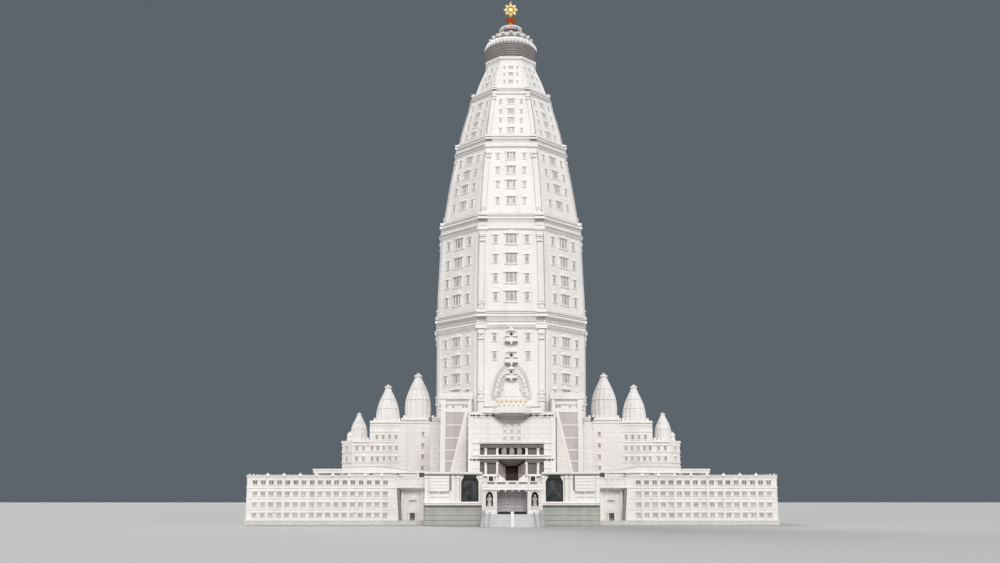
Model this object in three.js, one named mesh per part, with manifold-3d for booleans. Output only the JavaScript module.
// Tower temple at one to ten: an octagonal spire on a storeyed podium, with a stair, a columned porch,
// two rows of small shrines and a wheel finial. The front faces -Y, and the ground is the plane Z = 0.
import * as THREE from 'three';
import { mergeVertices } from 'three/addons/utils/BufferGeometryUtils.js';
import Module from 'manifold-3d';

const wasm = await Module();
wasm.setup();

// One metre of the real temple, in the millimetres of this model. Every size below is a real one times M.
const M = 100;
// Seat left between pieces that carry each other without a flat common face.
const SEAT = 0.003 * M;

// Podium: four storeys under a flat roof.
const PODIUM_X = 89.2 * M;
const PODIUM_Y = 60 * M;
const PLINTH_TOP = 1.5 * M;
const PLINTH_OUT = 0.4 * M;
const STOREY = 3.6 * M;
const PODIUM_ROOF = 15.8 * M;
const PARAPET_TOP = 16.4 * M;
const SLAB = 0.4 * M;
const WALL = 0.6 * M;
const CORE_COLUMN = 6 * M;

// Centre of the front: linking bays, the projecting middle and its portal.
const LINK_X = 38.6 * M;
const LINK_Y = -57.6 * M;
const LINK_BOW = 1.6 * M;
const BRIDGE_FOOT = 12.6 * M;
const BRIDGE_FLOOR = 13.6 * M;
const BRIDGE_TOP = 15.6 * M;
const BRIDGE_OUT = 0.6 * M;
const LINK_DOOR_HALF = 0.9 * M;
const LINK_DOOR_HEAD = 3.9 * M;
const MIDDLE_X = 28.3 * M;
const MIDDLE_Y = -70 * M;
const MIDDLE_TOP = 17.1 * M;
const LEDGE_TOP = 7.5 * M;
const LEDGE_THICK = 0.9 * M;
const LEDGE_OUT = 1.3 * M;
const ARCH_X = 13.8 * M;
const ARCH_HALF = 2.85 * M;
const ARCH_SPRING = 14.2 * M;
const ARCH_TOP = 16.5 * M;
const PORTAL_X = 9.75 * M;
const PORTAL_Y = -74 * M;
const PIER_INNER_X = 4.9 * M;
const ENTRANCE_FLOOR = 3.7 * M;
const ENTRANCE_HEAD = 11.5 * M;
const BALCONY_FLOOR = 12.5 * M;
const BALCONY_TOP = 14.0 * M;
const NICHE_HALF = 1.2 * M;
const NICHE_FOOT = 6.1 * M;
const NICHE_SPRING = 9.6 * M;
const NICHE_TOP = 11.0 * M;
const NICHE_DEEP = 1.1 * M;

// Grand stair in front of the portal.
const STAIR_HEAD_Y = -77 * M;
const STAIR_FOOT_Y = -93 * M;
const STAIR_HALF = 9.6 * M;
const STEPS = 12;

// Small stair and screen wall between the portal balcony and the porch.
const LANDING_Y = -66 * M;
const LANDING_STEPS = 6;
const CHEEK_IN = 2.2 * M;
const CHEEK_OUT = 5.4 * M;
const CHEEK_TOP = 16.7 * M;

// Porch block between the middle front and the tower.
const PORCH_X = 13.65 * M;
const PORCH_Y = -59 * M;
const PORCH_TOP = 37.6 * M;
const PORCH_PARAPET_X = 9.9 * M;
const PORCH_PARAPET_TOP = 39.4 * M;
const BOW_HALF = 6.4 * M;
const BOW_OUT = 1.9 * M;
const BOW_STEPS = [[1, 37.2 * M, 39.4 * M], [0.88, 36.3 * M, 37.2 * M], [0.68, 35.3 * M, 36.3 * M]];
const PORCH_OPEN_X = 10.85 * M;
const PORCH_OPEN_FOOT = 16.9 * M;
const PORCH_OPEN_HEAD = 27.1 * M;
const PORCH_MID_FOLD = [21.9 * M, 23.4 * M];
const PORCH_COLUMNS_X = [8.95 * M, 5.5 * M];
const PORCH_COLUMN_HALF = 0.5 * M;
const INNER_WALL_Y = -54 * M;
const DOOR_HALF = 2.2 * M;
const DOOR_HEAD = 19.9 * M;

// Base block of the tower, and the panelled flanks with raking buttresses in front of it.
const BASE_X = 29.9 * M;
const BASE_TOP = 38.4 * M;
const BASE_STOREY = 4.6 * M;
const FLANK_IN = 14.5 * M;
const FLANK_OUT = 25.4 * M;
const FLANK_Y = -43 * M;
const FLANK_TOP = 44.0 * M;
const CAP_TOP = 46.2 * M;
const CAP_OUT = 0.6 * M;
const RAKE_HEAD = 38.1 * M;
const RAKE_IN = 16.0 * M;
const RAKE_OUT = 22.0 * M;
const RAKE_DEEP = 2.5 * M;

// Octagonal tower: half-widths across flats in real metres, [half-width, height], up each tier's wall.
const TOWER_WALL = 1.2 * M;
const FACE_SHARE = 0.45;
const TIERS = [
  [[28.55, 38.4], [28.75, 71.7]],
  [[28.7, 78.6], [28.6, 86.5], [27.9, 102.9], [27.6, 109.8]],
  [[26.8, 116.6], [25.6, 124.6], [24.65, 131.4], [23.5, 138.4], [22.1, 144.4]],
  [[21.3, 149.2], [20.0, 155.9], [18.6, 161.3], [16.6, 168.5], [16.0, 170.3]],
  [[14.4, 173.6], [13.1, 177.8], [11.7, 181.6], [9.6, 186.5]],
].map(scaled);
// Floor levels under the window rows of each tier; the fourth stack carries the fifth tier's floors too.
const FLOOR_LEVELS = [
  [44.6, 51.0, 57.7, 64.6],
  [82.2, 89.5, 97.1, 104.8],
  [121.9, 127.9, 134.0, 140.1],
  [152.9, 157.2, 160.8, 165.4, 177.0, 179.6, 183.0],
];
// How far each cornice stands out from the wall under it, and its top's half-width and height.
const CORNICES = [
  { out: 0.9 * M, head: [28.7 * M, 78.6 * M] },
  { out: 0.9 * M, head: [26.8 * M, 116.6 * M] },
  { out: 0.8 * M, head: [21.3 * M, 149.2 * M] },
  { out: 0.6 * M, head: [14.6 * M, 173.6 * M] },
  { out: 1.0 * M, head: [9.9 * M, 189.6 * M] },
];

// Balcony pavilions stacked up the front of the first tier: foot heights, and one pavilion's size.
const BALCONY_FEET = [66.7 * M, 58.6 * M, 52.4 * M];
const PAVILION_HALF = 2.5 * M;
const PAVILION_OUT = 2.0 * M;
const PAVILION_TALL = 3.6 * M;
const STRIP_HALF = 3.2 * M;

// Side shrines: block front and back planes, and each spire's place, radius, foot and tip.
const BLOCK_Y = 8 * M;
const BLOCK_CHAMFER = 4.5 * M;
const BLOCK_ENDS = [43.1 * M, 55.3 * M, 66.6 * M];
const SHRINES = [
  { name: 'inner', x: 37.3 * M, radius: 5.25 * M, foot: 40.0 * M, tip: 58.9 * M },
  { name: 'middle', x: 49.3 * M, radius: 4.8 * M, foot: 38.9 * M, tip: 54.2 * M },
  { name: 'outer', x: 60.7 * M, radius: 3.4 * M, foot: 31.3 * M, tip: 42.9 * M },
];

const white = paint(0xefeae7, 0.75);
const pale = paint(0xd8d3d0, 0.8);
const glass = paint(0x2b2e31, 0.2);
const gold = paint(0xc9a85f, 0.35, 0.9);
const copper = paint(0xb5703a, 0.4, 0.8);

function paint(color, roughness, metalness = 0) {
  return new THREE.MeshStandardMaterial({ color, roughness, metalness });
}

// A closed solid from any closed three.js geometry.
function solid(geometry) {
  const bare = geometry.index ? geometry.toNonIndexed() : geometry.clone();
  bare.deleteAttribute('normal');
  bare.deleteAttribute('uv');
  const merged = mergeVertices(bare, 1e-3);
  const index = [];
  const all = merged.index.array;
  for (let i = 0; i < all.length; i += 3) {
    const [a, b, c] = [all[i], all[i + 1], all[i + 2]];
    if (a !== b && b !== c && a !== c) index.push(a, b, c);
  }
  const vertProperties = new Float32Array(merged.attributes.position.array);
  return new wasm.Manifold(new wasm.Mesh({ numProp: 3, vertProperties, triVerts: new Uint32Array(index) }));
}

function joined(parts) {
  return parts.reduce((whole, part) => whole.add(part));
}

function box(x0, x1, y0, y1, z0, z1) {
  const geometry = new THREE.BoxGeometry(x1 - x0, y1 - y0, z1 - z0);
  geometry.translate((x0 + x1) / 2, (y0 + y1) / 2, (z0 + z1) / 2);
  return solid(geometry);
}

// A flat outline in X and Z, carried along Y from y0 to y1.
function slabInXZ(points, y0, y1) {
  const shape = new THREE.Shape(points.map(([x, z]) => new THREE.Vector2(x, z)));
  const geometry = new THREE.ExtrudeGeometry(shape, { depth: y1 - y0, bevelEnabled: false });
  geometry.rotateX(Math.PI / 2);
  geometry.translate(0, y1, 0);
  return solid(geometry);
}

// A flat outline in Y and Z, carried along X from x0 to x1.
function slabInYZ(points, x0, x1) {
  const shape = new THREE.Shape(points.map(([y, z]) => new THREE.Vector2(y, z)));
  const geometry = new THREE.ExtrudeGeometry(shape, { depth: x1 - x0, bevelEnabled: false });
  geometry.rotateX(Math.PI / 2);
  geometry.rotateZ(Math.PI / 2);
  geometry.translate(x0, 0, 0);
  return solid(geometry);
}

// A solid turned about the Z axis from a closed outline of [radius, z] points.
function turned(points, segments) {
  const outline = [...points, points[0]].map(([r, z]) => new THREE.Vector2(r, z));
  const geometry = new THREE.LatheGeometry(outline, segments);
  geometry.rotateX(Math.PI / 2);
  return solid(geometry);
}

// The tower's octagon: an eight-sided turning whose cardinal faces are a little wider than the diagonals.
function octagon(points) {
  const toCorner = 1 / Math.cos(Math.PI / 8);
  const outline = [...points, points[0]].map(([w, z]) => new THREE.Vector2(w * toCorner, z));
  const geometry = new THREE.LatheGeometry(outline, 8, Math.PI / 8);
  geometry.rotateX(Math.PI / 2);
  const place = geometry.attributes.position;
  const widen = FACE_SHARE / Math.tan(Math.PI / 8);
  for (let i = 0; i < place.count; i++) {
    const [x, y] = [place.getX(i), place.getY(i)];
    if (Math.abs(x) < Math.abs(y)) place.setX(i, x * widen);
    else place.setY(i, y * widen);
  }
  return solid(geometry);
}

function mirrored(part) {
  return part.mirror([1, 0, 0]);
}

const temple = new THREE.Group();

function place(name, part, material) {
  const { vertProperties, triVerts } = part.getMesh();
  const geometry = new THREE.BufferGeometry();
  geometry.setAttribute('position', new THREE.BufferAttribute(new Float32Array(vertProperties), 3));
  geometry.setIndex(new THREE.BufferAttribute(new Uint32Array(triVerts), 1));
  geometry.computeVertexNormals();
  const piece = new THREE.Mesh(geometry, material);
  piece.name = name;
  temple.add(piece);
}

// A piece on the left, and its mirror image on the right.
function placePair(name, leftPart, material) {
  place(`left_${name}`, leftPart, material);
  place(`right_${name}`, mirrored(leftPart), material);
}

// The octagonal wall of one tier: outer half-widths up the wall, and a straight line inside, foot to head.
function tierWall(outer) {
  const inside = ([w, z]) => [w - TOWER_WALL, z];
  return octagon([...outer, inside(outer[outer.length - 1]), inside(outer[0])]);
}

// Floor slabs of a tier on one middle column that carries them, each slab clear of the wall by the seat.
function storeyFloors(levels, halfWidthAt, foot) {
  const top = levels[levels.length - 1];
  const c = CORE_COLUMN / 2;
  const parts = [box(-c, c, -c, c, foot, top)];
  for (const z of levels) {
    const w = halfWidthAt(z) - SEAT;
    parts.push(octagon([[0, z - SLAB], [w, z - SLAB], [w, z], [0, z]]));
  }
  return joined(parts);
}

// Half-width of a tier's inner face at a height, on the straight line from its foot to its head.
function insideAt(profile, z) {
  const [[w0, z0], [w1, z1]] = [profile[0], profile[profile.length - 1]];
  const share = Math.min(1, Math.max(0, (z - z0) / (z1 - z0)));
  return w0 + (w1 - w0) * share - TOWER_WALL;
}

function scaled(pairs) {
  return pairs.map(([a, b]) => [a * M, b * M]);
}

podium();
linkBays();
middleFront();
portal();
porchStair();
porch();
towerBase();
tower();
towerBalconies();
crown();
shrineRows();
terraceHalls();

// Podium: plinth slab, three floors on a middle column, roof slab and the outer walls with their parapet.
function podium() {
  const [X, Y] = [PODIUM_X, PODIUM_Y];
  const out = PLINTH_OUT;
  const middle = box(-MIDDLE_X, MIDDLE_X, MIDDLE_Y, -Y, 0, PLINTH_TOP);
  place('ground_floor', box(-X - out, X + out, -Y - out, Y + out, 0, PLINTH_TOP).add(middle), pale);

  const [ix, iy] = [X - WALL - SEAT, Y - WALL - SEAT];
  const recess = WALL + SEAT;
  const left = box(-LINK_X - recess, -MIDDLE_X + recess, -Y, LINK_Y + recess, 0, PARAPET_TOP);
  const recesses = left.add(mirrored(left));
  const c = CORE_COLUMN / 2;
  const floors = [box(-c, c, -c, c, PLINTH_TOP, PODIUM_ROOF - SLAB)];
  for (let storey = 1; storey <= 3; storey++) {
    const z = PLINTH_TOP + storey * STOREY;
    floors.push(box(-ix, ix, -iy, iy, z - SLAB, z));
  }
  place('podium_floors', joined(floors).subtract(recesses), pale);
  const roof = box(-ix, ix, -iy, iy, PODIUM_ROOF - SLAB, PODIUM_ROOF);
  place('podium_roof', roof.subtract(recesses), pale);

  placePair('wing_front_wall', box(-X, -LINK_X, -Y, -Y + WALL, PLINTH_TOP, PARAPET_TOP), white);
  placePair('side_wall', box(-X, -X + WALL, -Y + WALL, Y - WALL, PLINTH_TOP, PARAPET_TOP), white);
  place('back_wall', box(-X, X, Y - WALL, Y, PLINTH_TOP, PARAPET_TOP), white);
}

// Linking bays: a set-back wall that bows outward, a small door at its foot, and a bridge-like balcony.
function linkBays() {
  const back = LINK_Y + WALL;
  const centre = -(LINK_X + MIDDLE_X) / 2;
  const bow = new THREE.Shape();
  bow.moveTo(-LINK_X, back);
  bow.lineTo(-LINK_X, LINK_Y);
  bow.quadraticCurveTo(centre, LINK_Y - LINK_BOW, -MIDDLE_X, LINK_Y);
  bow.lineTo(-MIDDLE_X, back);
  bow.quadraticCurveTo(centre, back - LINK_BOW, -LINK_X, back);
  const wall = new THREE.ExtrudeGeometry(bow, {
    depth: PARAPET_TOP - PLINTH_TOP,
    bevelEnabled: false,
    curveSegments: 6,
  });
  wall.translate(0, 0, PLINTH_TOP);
  const [half, through] = [LINK_DOOR_HALF, 4 * M];
  const door = box(centre - half, centre + half, LINK_Y - through, LINK_Y + through, 0, LINK_DOOR_HEAD);
  const side = box(-LINK_X - WALL, -LINK_X, -PODIUM_Y + WALL, back, PLINTH_TOP, PARAPET_TOP);
  const front = -PODIUM_Y - BRIDGE_OUT;
  const deck = box(-LINK_X, -MIDDLE_X, front, LINK_Y, BRIDGE_FOOT, BRIDGE_FLOOR);
  const rail = box(-LINK_X, -MIDDLE_X, front, front + WALL, BRIDGE_FLOOR, BRIDGE_TOP);
  placePair('link_bay', joined([solid(wall), side, deck, rail]).subtract(door), white);
}

// Middle front: walls and roofs with tall arched windows closed by dark glass, over a ledge.
function middleFront() {
  const [X, Y] = [MIDDLE_X, MIDDLE_Y];
  const [shoulder, crownHalf] = [ARCH_HALF * 0.74, ARCH_HALF * 0.45];
  const rise = ARCH_TOP - ARCH_SPRING;
  const arch = [
    [-ARCH_HALF, LEDGE_TOP], [ARCH_HALF, LEDGE_TOP], [ARCH_HALF, ARCH_SPRING],
    [shoulder, ARCH_SPRING + rise * 0.55], [crownHalf, ARCH_TOP - rise * 0.15], [0, ARCH_TOP],
    [-crownHalf, ARCH_TOP - rise * 0.15], [-shoulder, ARCH_SPRING + rise * 0.55], [-ARCH_HALF, ARCH_SPRING],
  ];
  const front = box(-X, -PORTAL_X, Y, Y + WALL, PLINTH_TOP, MIDDLE_TOP);
  const ledge = box(-X, -PORTAL_X, Y - LEDGE_OUT, Y, LEDGE_TOP - LEDGE_THICK, LEDGE_TOP);
  const opening = slabInXZ(arch.map(([x, z]) => [x - ARCH_X, z]), Y - 2 * LEDGE_OUT, Y + 2 * WALL);
  const outer = box(-X, -X + WALL, Y + WALL, LINK_Y + WALL, PLINTH_TOP, MIDDLE_TOP);
  const inner = box(-PORTAL_X - WALL, -PORTAL_X, Y + WALL, -PODIUM_Y, PLINTH_TOP, MIDDLE_TOP);
  const roof = box(-X, -PORTAL_X, Y + WALL, -PODIUM_Y, MIDDLE_TOP - 2 * SLAB, MIDDLE_TOP - SLAB);
  placePair('middle_wall', joined([front.subtract(opening), ledge, outer, inner, roof]), white);
  const fit = 1 - SEAT / ARCH_HALF;
  const pane = arch.map(([x, z]) => [x * fit - ARCH_X, LEDGE_TOP + SEAT + (z - LEDGE_TOP) * fit * fit]);
  placePair('arch_glass', slabInXZ(pane, Y + WALL / 2, Y + WALL / 2 + 0.1 * M), glass);
}

// Portal: two piers with arched niches under one deep balcony, a panel behind, and the stair before it.
function portal() {
  const centre = (PORTAL_X + PIER_INNER_X) / 2;
  const [n, spring] = [NICHE_HALF, NICHE_SPRING];
  const bend = spring + (NICHE_TOP - spring) * 0.6;
  const niche = [
    [-n, NICHE_FOOT], [n, NICHE_FOOT], [n, spring], [n * 0.65, bend], [0, NICHE_TOP],
    [-n * 0.65, bend], [-n, spring],
  ];
  const pier = box(-PORTAL_X, -PIER_INNER_X, PORTAL_Y, MIDDLE_Y + WALL, ENTRANCE_FLOOR, ENTRANCE_HEAD);
  const cut = slabInXZ(niche.map(([x, z]) => [x - centre, z]), PORTAL_Y - M, PORTAL_Y + NICHE_DEEP);
  placePair('portal_pier', pier.subtract(cut), white);

  const lip = PORTAL_Y - 0.6 * M;
  const deck = box(-PORTAL_X, PORTAL_X, lip, -PODIUM_Y + WALL, ENTRANCE_HEAD, BALCONY_FLOOR);
  const rail = box(-PORTAL_X, PORTAL_X, lip, lip + 0.4 * M, BALCONY_FLOOR, BALCONY_TOP);
  place('portal_balcony', deck.add(rail), white);
  const panel = box(-PIER_INNER_X, PIER_INNER_X, MIDDLE_Y, MIDDLE_Y + WALL, ENTRANCE_FLOOR, ENTRANCE_HEAD);
  place('entrance_panel', panel, pale);

  const tread = (STAIR_HEAD_Y - STAIR_FOOT_Y) / STEPS;
  const flight = [[MIDDLE_Y, 0], [STAIR_FOOT_Y, 0]];
  for (let i = 0; i < STEPS; i++) {
    const z = (ENTRANCE_FLOOR * (i + 1)) / STEPS;
    flight.push([STAIR_FOOT_Y + i * tread, z], [STAIR_FOOT_Y + (i + 1) * tread, z]);
  }
  flight.push([MIDDLE_Y, ENTRANCE_FLOOR]);
  place('grand_stair', slabInYZ(flight, -STAIR_HALF, STAIR_HALF), pale);
}

// Stair from the portal balcony up to the porch, between sloping cheeks, with the screen wall behind.
function porchStair() {
  const [Y, low, high] = [-PODIUM_Y, BALCONY_FLOOR, PODIUM_ROOF];
  const tread = (Y - LANDING_Y) / LANDING_STEPS;
  const flight = [[Y, low], [LANDING_Y, low]];
  for (let i = 0; i < LANDING_STEPS; i++) {
    const z = low + ((high - low) * (i + 1)) / LANDING_STEPS;
    flight.push([LANDING_Y + i * tread, z], [LANDING_Y + (i + 1) * tread, z]);
  }
  const cheek = [
    [CHEEK_IN, low], [CHEEK_OUT, low], [CHEEK_OUT, CHEEK_TOP], [CHEEK_OUT - M / 2, CHEEK_TOP], [CHEEK_IN, low + M],
  ];
  const right = slabInXZ(cheek, Y - M, Y);
  const screen = box(-PORTAL_X, PORTAL_X, Y, Y + WALL, low, high);
  place('porch_stair', joined([slabInYZ(flight, -CHEEK_IN, CHEEK_IN), right, mirrored(right), screen]), white);
}

// Porch block: walls, two-storey columned opening, inner wall with the doorway, and a bowed balcony on top.
function porch() {
  const [X, Y, back] = [PORCH_X, PORCH_Y, -BASE_X];
  const front = box(-X, X, Y, Y + WALL, PODIUM_ROOF, PORCH_TOP);
  const open = box(-PORCH_OPEN_X, PORCH_OPEN_X, Y - M, Y + M, PORCH_OPEN_FOOT, PORCH_OPEN_HEAD);
  const side = box(-X, -X + WALL, Y + WALL, back, PODIUM_ROOF, PORCH_TOP);
  place('porch_walls', joined([front.subtract(open), side, mirrored(side)]), white);

  const roof = box(-X, X, Y, back, PORCH_TOP, PORCH_TOP + SLAB);
  const parapet = box(-PORCH_PARAPET_X, PORCH_PARAPET_X, Y - M, Y + M, PORCH_TOP, PORCH_PARAPET_TOP);
  const bow = BOW_STEPS.map(([share, z0, z1]) => {
    const plan = new THREE.Shape();
    plan.absellipse(0, Y - M, BOW_HALF * share, BOW_OUT * share, Math.PI, 2 * Math.PI, false, 0);
    const step = new THREE.ExtrudeGeometry(plan, { depth: z1 - z0, bevelEnabled: false, curveSegments: 16 });
    step.translate(0, 0, z0);
    return solid(step);
  });
  const bracket = box(-BOW_HALF * 0.68, BOW_HALF * 0.68, Y - M, Y, BOW_STEPS[2][1], PORCH_TOP);
  place('porch_roof', joined([roof, parapet, ...bow, bracket]), white);

  const wall = box(-X + WALL, X - WALL, INNER_WALL_Y, INNER_WALL_Y + WALL, PODIUM_ROOF, PORCH_TOP);
  const door = box(-DOOR_HALF, DOOR_HALF, INNER_WALL_Y - M, INNER_WALL_Y + 2 * M, PODIUM_ROOF - M, DOOR_HEAD);
  place('porch_inner_wall', wall.subtract(door), pale);

  const [low, high] = PORCH_MID_FOLD;
  const parts = [box(-X + WALL, X - WALL, Y + WALL, INNER_WALL_Y, low, high)];
  for (const x of PORCH_COLUMNS_X) {
    const c = PORCH_COLUMN_HALF;
    const column = box(x - c, x + c, Y + 2 * c, Y + 4 * c, PODIUM_ROOF, PORCH_OPEN_HEAD + M);
    parts.push(column, mirrored(column));
  }
  place('porch_colonnade', joined(parts), white);
}

// Tower base: a square storeyed block, with capped flanks and raking buttresses before it.
function towerBase() {
  const X = BASE_X;
  const roof = BASE_TOP - SLAB;
  const room = X - TOWER_WALL;
  const inner = box(-room, room, -room, room, PODIUM_ROOF - M, roof + M);
  place('tower_base_wall', box(-X, X, -X, X, PODIUM_ROOF, roof).subtract(inner), white);
  place('tower_base_roof', box(-X, X, -X, X, roof, BASE_TOP), white);
  const [c, edge] = [CORE_COLUMN / 2, room - SEAT];
  const floors = [box(-c, c, -c, c, PODIUM_ROOF, roof)];
  for (let z = PODIUM_ROOF + BASE_STOREY; z < roof - SLAB; z += BASE_STOREY) {
    floors.push(box(-edge, edge, -edge, edge, z - SLAB, z));
  }
  place('tower_base_floors', joined(floors), pale);

  const front = box(-FLANK_OUT, -FLANK_IN, FLANK_Y, FLANK_Y + WALL, PODIUM_ROOF, FLANK_TOP);
  const outer = box(-FLANK_OUT, -FLANK_OUT + WALL, FLANK_Y, -X, PODIUM_ROOF, FLANK_TOP);
  const nearer = box(-FLANK_IN - WALL, -FLANK_IN, FLANK_Y, -X, PODIUM_ROOF, FLANK_TOP);
  const behind = box(-FLANK_OUT, -FLANK_IN, -X - WALL, -X, BASE_TOP, FLANK_TOP);
  const cap = box(-FLANK_OUT - CAP_OUT, -FLANK_IN + CAP_OUT, FLANK_Y - CAP_OUT, -X, FLANK_TOP, CAP_TOP);
  const rake = [
    [-RAKE_IN, PODIUM_ROOF], [-RAKE_IN, RAKE_HEAD], [-RAKE_IN - 0.8 * M, RAKE_HEAD], [-RAKE_OUT, PODIUM_ROOF],
  ];
  const buttress = slabInXZ(rake, FLANK_Y - RAKE_DEEP, FLANK_Y);
  placePair('flank', joined([front, outer, nearer, behind, cap, buttress]), white);
}

// Tower: five hollow tiers that draw in toward the top, their floors, and a moulded cornice on each.
function tower() {
  TIERS.forEach((outer, i) => place(`tower_tier_${i + 1}`, tierWall(outer), white));

  let foot = BASE_TOP;
  FLOOR_LEVELS.forEach((levels, i) => {
    const heights = levels.map((z) => z * M);
    const tierAt = (z) => (z < TIERS[4][0][1] ? TIERS[i] : TIERS[4]);
    place(`tier_${i + 1}_floors`, storeyFloors(heights, (z) => insideAt(tierAt(z), z), foot), pale);
    foot = heights[heights.length - 1];
  });

  CORNICES.forEach(({ out, head }, i) => {
    const [low, base] = TIERS[i][TIERS[i].length - 1];
    const [high, top] = head;
    const at = (share) => base + (top - base) * share;
    const inner = Math.min(low, high) - TOWER_WALL;
    const shelf = low + out * 0.8;
    if (i === 4) {
      const [flare, drip, lip] = [low + out * 0.2, at(0.5), low + out];
      place('cornice_5', octagon([
        [inner, at(0)], [low, at(0)], [flare, drip], [lip, at(0.65)], [lip, at(0.9)], [high, at(1)], [inner, at(1)],
      ]), white);
      return;
    }
    place(`cornice_${i + 1}`, octagon([
      [inner, at(0)], [low, at(0)], [low + out, at(0.1)], [low + out, at(0.27)], [low + out * 0.2, at(0.34)],
      [low + out * 0.1, at(0.68)], [shelf, at(0.74)], [shelf, at(0.9)], [high, at(1)], [inner, at(1)],
    ]), white);
  });
}

// Balconies: three small roofed pavilions on a raised strip up the front of the first tier.
function towerBalconies() {
  const face = -TIERS[0][1][0] - SEAT;
  const parts = [box(-STRIP_HALF, STRIP_HALF, face - 0.4 * M, face, BASE_TOP, TIERS[0][1][1])];
  for (const z of BALCONY_FEET) {
    const [h, front, tall] = [PAVILION_HALF, face - PAVILION_OUT, PAVILION_TALL];
    parts.push(box(-h, h, front, face, z, z + 0.3 * tall));
    parts.push(box(-h, h, front, face, z + 0.62 * tall, z + 0.75 * tall));
    const roof = [[-h * 0.7, z + 0.75 * tall], [h * 0.7, z + 0.75 * tall], [h * 0.45, z + 0.93 * tall], [0, z + tall]];
    roof.push([-h * 0.45, z + 0.93 * tall]);
    parts.push(slabInXZ(roof, front + 0.3 * M, face));
    parts.push(box(-h * 0.5, h * 0.5, front + 0.7 * M, face, z, z + 0.7 * tall));
  }
  place('tower_balconies', joined(parts), white);
}

// Crown: ribbed disc, lotus collar, vase finial and wheel, on the neck of the fifth cornice.
function crown() {
  const disc = [
    [7.4, 189.6], [9.3, 189.6], [10.2, 191.0], [11.1, 193.0], [11.4, 195.4], [11.1, 197.4], [9.8, 198.7], [7.4, 198.7],
  ];
  place('ribbed_disc', turned(scaled(disc), 32), white);
  const lotus = [
    [0, 198.7], [9.4, 198.7], [9.9, 200.6], [7.0, 201.2], [4.2, 203.0], [3.5, 203.6], [4.7, 205.9], [3.0, 206.1],
    [0, 206.1],
  ];
  place('lotus_collar', turned(scaled(lotus), 24), white);
  const vase = [
    [0, 206.1], [2.1, 206.1], [2.2, 207.3], [1.0, 208.7], [0.9, 209.4], [2.2, 210.5], [2.3, 211.0], [0.9, 211.6],
    [0, 211.6],
  ];
  place('vase_finial', turned(scaled(vase), 16), copper);

  const rim = new THREE.Shape();
  const flames = 16;
  for (let i = 0; i < 2 * flames; i++) {
    const angle = (Math.PI * i) / flames + Math.PI / 2;
    const radius = (i % 2 ? 2.3 : 3.2) * M;
    rim[i === 0 ? 'moveTo' : 'lineTo'](radius * Math.cos(angle), radius * Math.sin(angle));
  }
  const wheel = new THREE.ExtrudeGeometry(rim, { depth: 0.8 * M, bevelEnabled: false });
  wheel.rotateX(Math.PI / 2);
  wheel.translate(0, 0.4 * M, 215.2 * M);
  const stem = box(-0.4 * M, 0.4 * M, -0.4 * M, 0.4 * M, 211.6 * M, 213.4 * M);
  const flame = box(-0.25 * M, 0.25 * M, -0.25 * M, 0.25 * M, 218 * M, 219.3 * M);
  place('wheel_finial', joined([solid(wheel), stem, flame]), gold);
}

// Side shrines: a stepped storeyed block on each side of the tower, its floors, and three curved spires.
function shrineRows() {
  const t = WALL;
  const bounds = [BASE_X, ...BLOCK_ENDS];
  const end = BLOCK_ENDS[2];
  const masses = SHRINES.map(({ foot }, i) => box(-bounds[i + 1], -bounds[i], -BLOCK_Y, BLOCK_Y, PODIUM_ROOF, foot));
  const rooms = SHRINES.map(({ foot }, i) => {
    const outerWall = i === 0 || SHRINES[i].foot < SHRINES[i - 1].foot ? bounds[i + 1] - t : bounds[i + 1];
    return box(-outerWall, -bounds[i] - (i === 0 ? t : -t), -BLOCK_Y + t, BLOCK_Y - t, PODIUM_ROOF - M, foot - SLAB);
  });
  for (let i = 1; i < 3; i++) {
    const lower = SHRINES[i].foot - SLAB;
    rooms.push(box(-bounds[i] - 2 * t, -bounds[i] + 2 * t, -BLOCK_Y + t, BLOCK_Y - t, PODIUM_ROOF - M, lower));
  }
  const shell = joined(masses).subtract(joined(rooms)).subtract(blockCorners(0));
  placePair('shrine_block', shell.add(cornerWalls()), white);

  const [edge, c] = [BLOCK_Y - t - SEAT, CORE_COLUMN / 4];
  const middle = SHRINES[1].x;
  const levels = [1, 2, 3].map((storey) => PODIUM_ROOF + storey * BASE_STOREY);
  const top = levels[2] + BASE_STOREY;
  const floors = [box(-middle - c, -middle + c, -c, c, PODIUM_ROOF, top)];
  for (const z of levels) {
    const slab = box(-end + t + SEAT, -bounds[0] - t - SEAT, -edge, edge, z - SLAB, z);
    floors.push(slab.subtract(blockCorners(t * Math.SQRT2 + 2 * SEAT)));
  }
  floors.push(box(-bounds[2] + t + SEAT, -bounds[0] - t - SEAT, -edge, edge, top - SLAB, top));
  placePair('shrine_floors', joined(floors), pale);

  SHRINES.forEach(({ name, x, radius: r, foot, tip }) => {
    const rise = tip - foot;
    const outline = [
      [0, foot], [r * 0.95, foot], [r, foot + rise * 0.2], [r * 0.95, foot + rise * 0.41],
      [r * 0.88, foot + rise * 0.53], [r * 0.79, foot + rise * 0.64], [r * 0.66, foot + rise * 0.74],
      [r * 0.48, foot + rise * 0.83], [r * 0.3, foot + rise * 0.885], [r * 0.17, foot + rise * 0.91],
      [r * 0.27, foot + rise * 0.94], [r * 0.1, foot + rise * 0.975], [0, tip],
    ];
    placePair(`${name}_shrine_spire`, turned(outline, 16).translate([-x, 0, 0]), white);
  });
}

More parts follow.
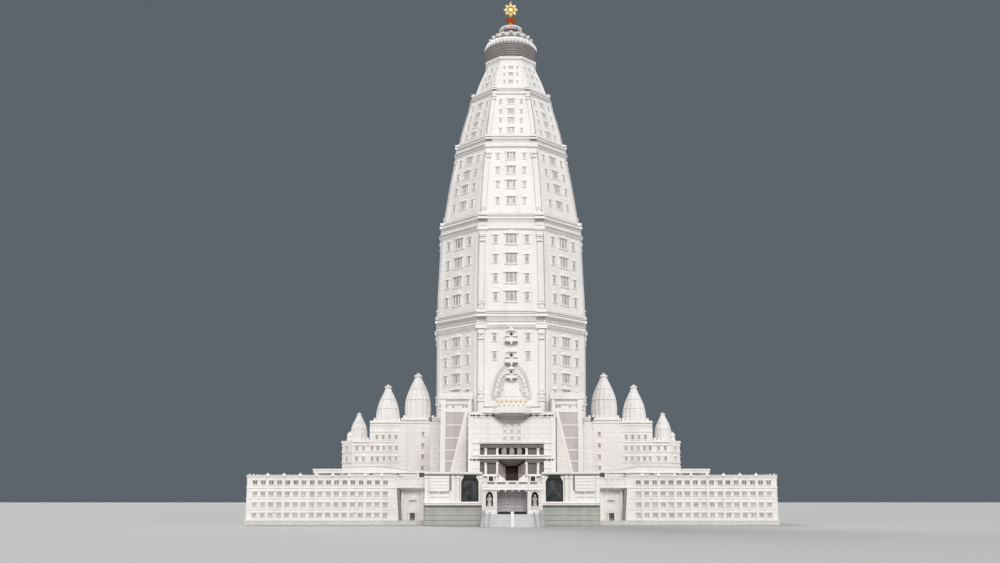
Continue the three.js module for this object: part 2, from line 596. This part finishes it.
// The two outer corners cut off the end of a side block, grown inward by a margin.
function blockCorners(margin) {
  const [end, y, cut] = [-BLOCK_ENDS[2], BLOCK_Y, BLOCK_CHAMFER + margin];
  const corner = (sign) => {
    const shape = new THREE.Shape([
      new THREE.Vector2(end - M, sign * (y + M)), new THREE.Vector2(end - M, sign * (y - cut - M)),
      new THREE.Vector2(end + cut + M, sign * (y + M)),
    ]);
    const geometry = new THREE.ExtrudeGeometry(shape, { depth: 40 * M, bevelEnabled: false });
    geometry.translate(0, 0, PODIUM_ROOF - 2 * M);
    return solid(geometry);
  };
  return corner(1).add(corner(-1));
}

// Slanting walls behind the cut corners of a side block, with its roof's edge above them.
function cornerWalls() {
  const whole = box(-BLOCK_ENDS[2], -BLOCK_ENDS[1], -BLOCK_Y, BLOCK_Y, PODIUM_ROOF, SHRINES[2].foot);
  return whole.intersect(blockCorners(WALL * Math.SQRT2)).subtract(blockCorners(0));
}

// Terrace halls: a roof on columns that curves down toward the tower, and a flat canopy at its outer end.
function terraceHalls() {
  const [front, back] = [-34 * M, -24 * M];
  const [near, far, spring, rise, thick] = [33.5 * M, 61.5 * M, 18.4 * M, 2.1 * M, 0.5 * M];
  const vault = new THREE.Shape();
  vault.moveTo(-far, spring + 0.85 * rise);
  vault.lineTo(-far + 11.5 * M, spring + rise);
  vault.quadraticCurveTo(-near - 8.5 * M, spring + 0.95 * rise, -near, spring);
  vault.lineTo(-near, spring - thick);
  vault.lineTo(-far, spring - thick);
  const roof = new THREE.ExtrudeGeometry(vault, { depth: back - front, bevelEnabled: false, curveSegments: 10 });
  roof.rotateX(Math.PI / 2);
  roof.translate(0, back, 0);
  const canopy = box(-72 * M, -far, front, back, spring - thick, spring + 2 * thick);
  const parts = [solid(roof), canopy];
  for (const x of [-71, -61.5, -52.2, -42.8, -34.2]) {
    for (const y of [front + M, back - M]) {
      const c = 0.4 * M;
      parts.push(box(x * M - c, x * M + c, y - c, y + c, PODIUM_ROOF, spring - thick / 2));
    }
  }
  placePair('terrace_hall', joined(parts), white);
}

export default temple;
